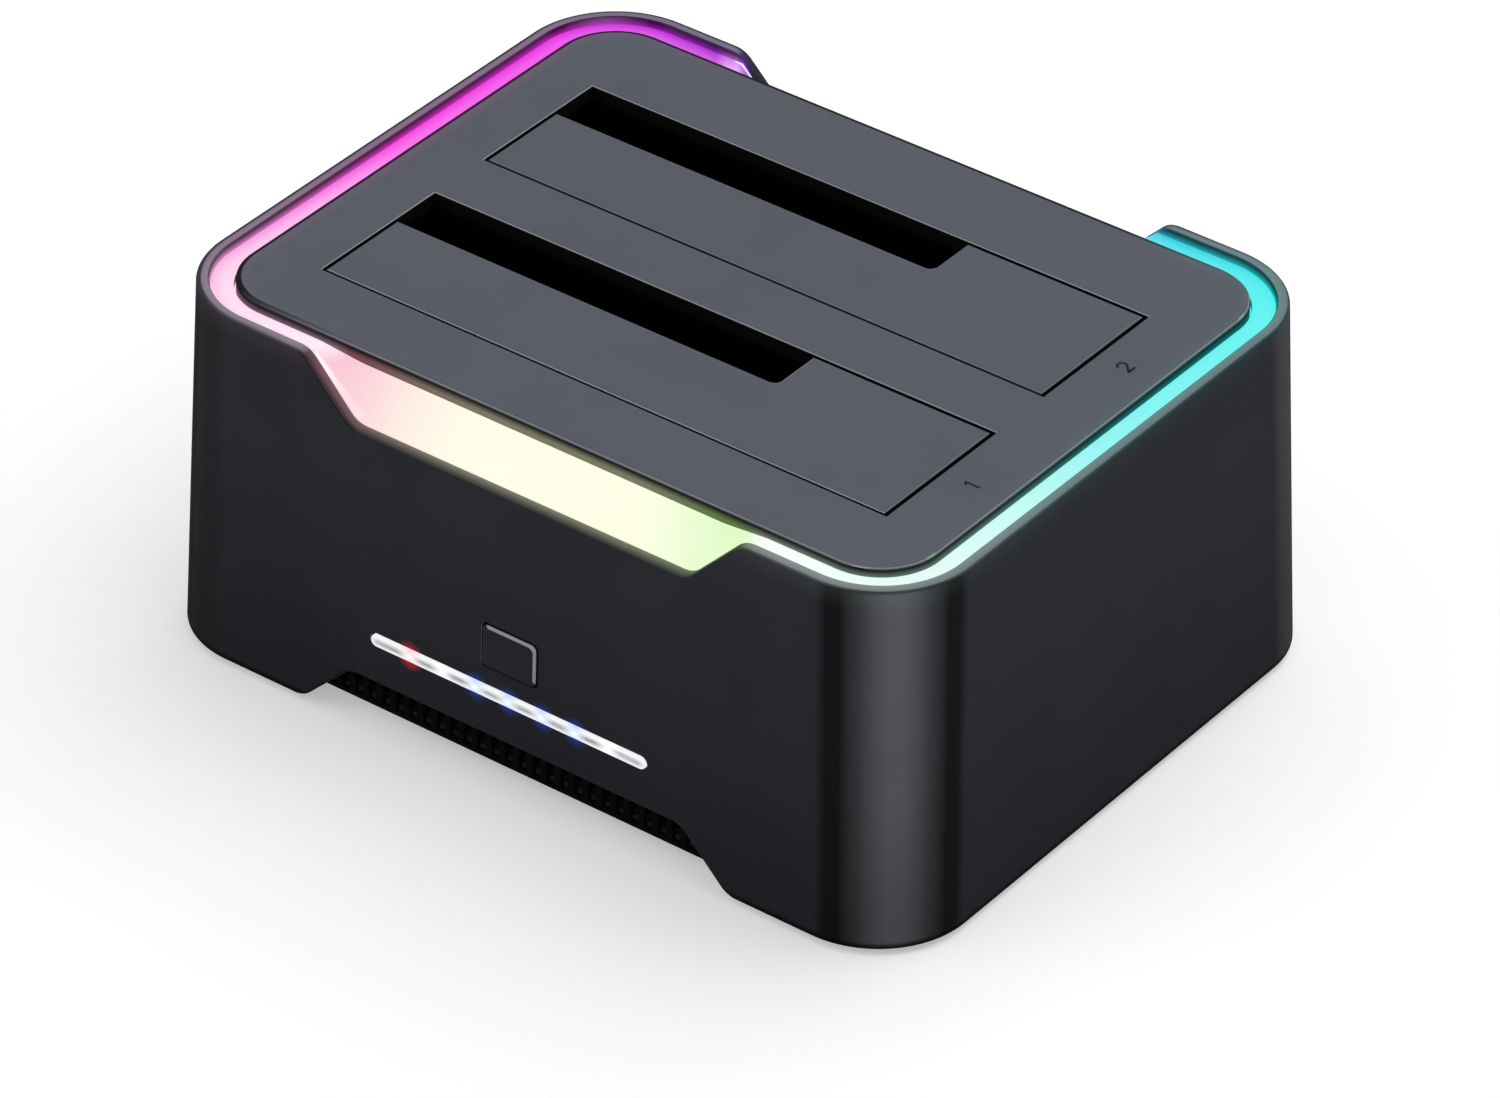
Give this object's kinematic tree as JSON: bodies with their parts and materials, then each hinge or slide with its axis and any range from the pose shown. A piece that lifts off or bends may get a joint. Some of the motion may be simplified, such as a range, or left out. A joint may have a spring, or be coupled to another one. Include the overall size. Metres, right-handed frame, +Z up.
{
  "type": "hard drive docking station",
  "caption": "Desktop docking station for bare hard drives: open bays with sprung L-shaped flaps in a flat top, a lit rim, a front light bar and button.",
  "frame": {"origin": "centre of the footprint, on the table under the feet", "axes": "+X along the front to the right, +Y to the back, +Z up"},
  "size_m": [0.1426, 0.1114, 0.062],
  "materials": {
    "shell_plastic": "moulded, fine satin grain",
    "plate_plastic": "moulded, fine matt grain",
    "light_plastic": "milky diffusing plastic, lit from below",
    "inner_plastic": "moulded",
    "button_plastic": "moulded, satin",
    "steel": "bright drawn steel",
    "screw_steel": "zinc plated",
    "board_green": "solder-masked board",
    "board_white": "white solder-masked board",
    "lamp": "clear epoxy over a white body",
    "lead_plastic": "flexible insulation",
    "socket_plastic": "moulded",
    "connector_plastic": "glass-filled, moulded",
    "contact_gold": "gold plated",
    "chip_epoxy": "moulded epoxy",
    "can_aluminium": "drawn cans",
    "coil_ferrite": "sintered ferrite",
    "data_plastic": "moulded",
    "rubber": "moulded rubber"
  },
  "bodies": {
    "station": {"outer_shell": "shell_plastic", "top_plate": "plate_plastic", "left_light_strip": "light_plastic", "right_light_strip": "light_plastic", "front_window": "light_plastic", "rear_window": "light_plastic", "front_hinge_pin": "steel", "rear_hinge_pin": "steel", "front_flap_spring": "steel", "rear_flap_spring": "steel", "bay_frame": "inner_plastic", "plate_screws": "screw_steel", "side_light_boards": "board_white", "side_lights": "lamp", "window_light_boards": "board_white", "window_lights": "lamp", "light_lead": "lead_plastic", "indicator_bar": "light_plastic", "indicator_board": "board_green", "indicator_lights": "lamp", "indicator_screws": "screw_steel", "button_switch": "inner_plastic", "panel_ribbon": "lead_plastic", "ribbon_sockets": "socket_plastic", "main_board": "board_green", "board_screws": "screw_steel", "front_drive_connector": "connector_plastic", "rear_drive_connector": "connector_plastic", "front_contacts": "contact_gold", "rear_contacts": "contact_gold", "board_chips": "chip_epoxy", "board_capacitors": "can_aluminium", "board_coils": "coil_ferrite", "power_jack": "connector_plastic", "data_socket": "data_plastic", "switch_housing": "connector_plastic", "front_grille": "inner_plastic", "rear_grille": "inner_plastic", "base_plate": "inner_plastic", "base_screws": "screw_steel", "rubber_feet": "rubber"},
    "front_flap": {"front_bay_flap": "plate_plastic"},
    "rear_flap": {"rear_bay_flap": "plate_plastic"},
    "button": {"front_button": "button_plastic", "button_plunger": "socket_plastic"},
    "rocker": {"power_rocker": "button_plastic"}
  },
  "joints": [
    {"name": "front_flap_hinge", "type": "hinge", "parent": "station", "child": "front_flap", "pos_m": [0, -0.03905, 0.0572], "axis": [-1, 0, 0], "range_deg": [0, 88], "stiffness_Nm_per_rad": 0.0015, "springref_deg": -68.75, "deforming": ["front_flap_spring"]},
    {"name": "rear_flap_hinge", "type": "hinge", "parent": "station", "child": "rear_flap", "pos_m": [0, -0.00075, 0.0572], "axis": [-1, 0, 0], "range_deg": [0, 88], "stiffness_Nm_per_rad": 0.0015, "springref_deg": -68.75, "deforming": ["rear_flap_spring"]},
    {"name": "button_press", "type": "slide", "parent": "station", "child": "button", "axis": [0, 0.9993, -0.0377], "range_m": [0, 0.0008], "stiffness_N_per_m": 800, "springref_m": -0.0006},
    {"name": "rocker_tip", "type": "hinge", "parent": "station", "child": "rocker", "pos_m": [0.028, 0.05153, 0.0399], "axis": [0, 0.0377, -0.9993], "range_deg": [0, 16]}
  ]
}
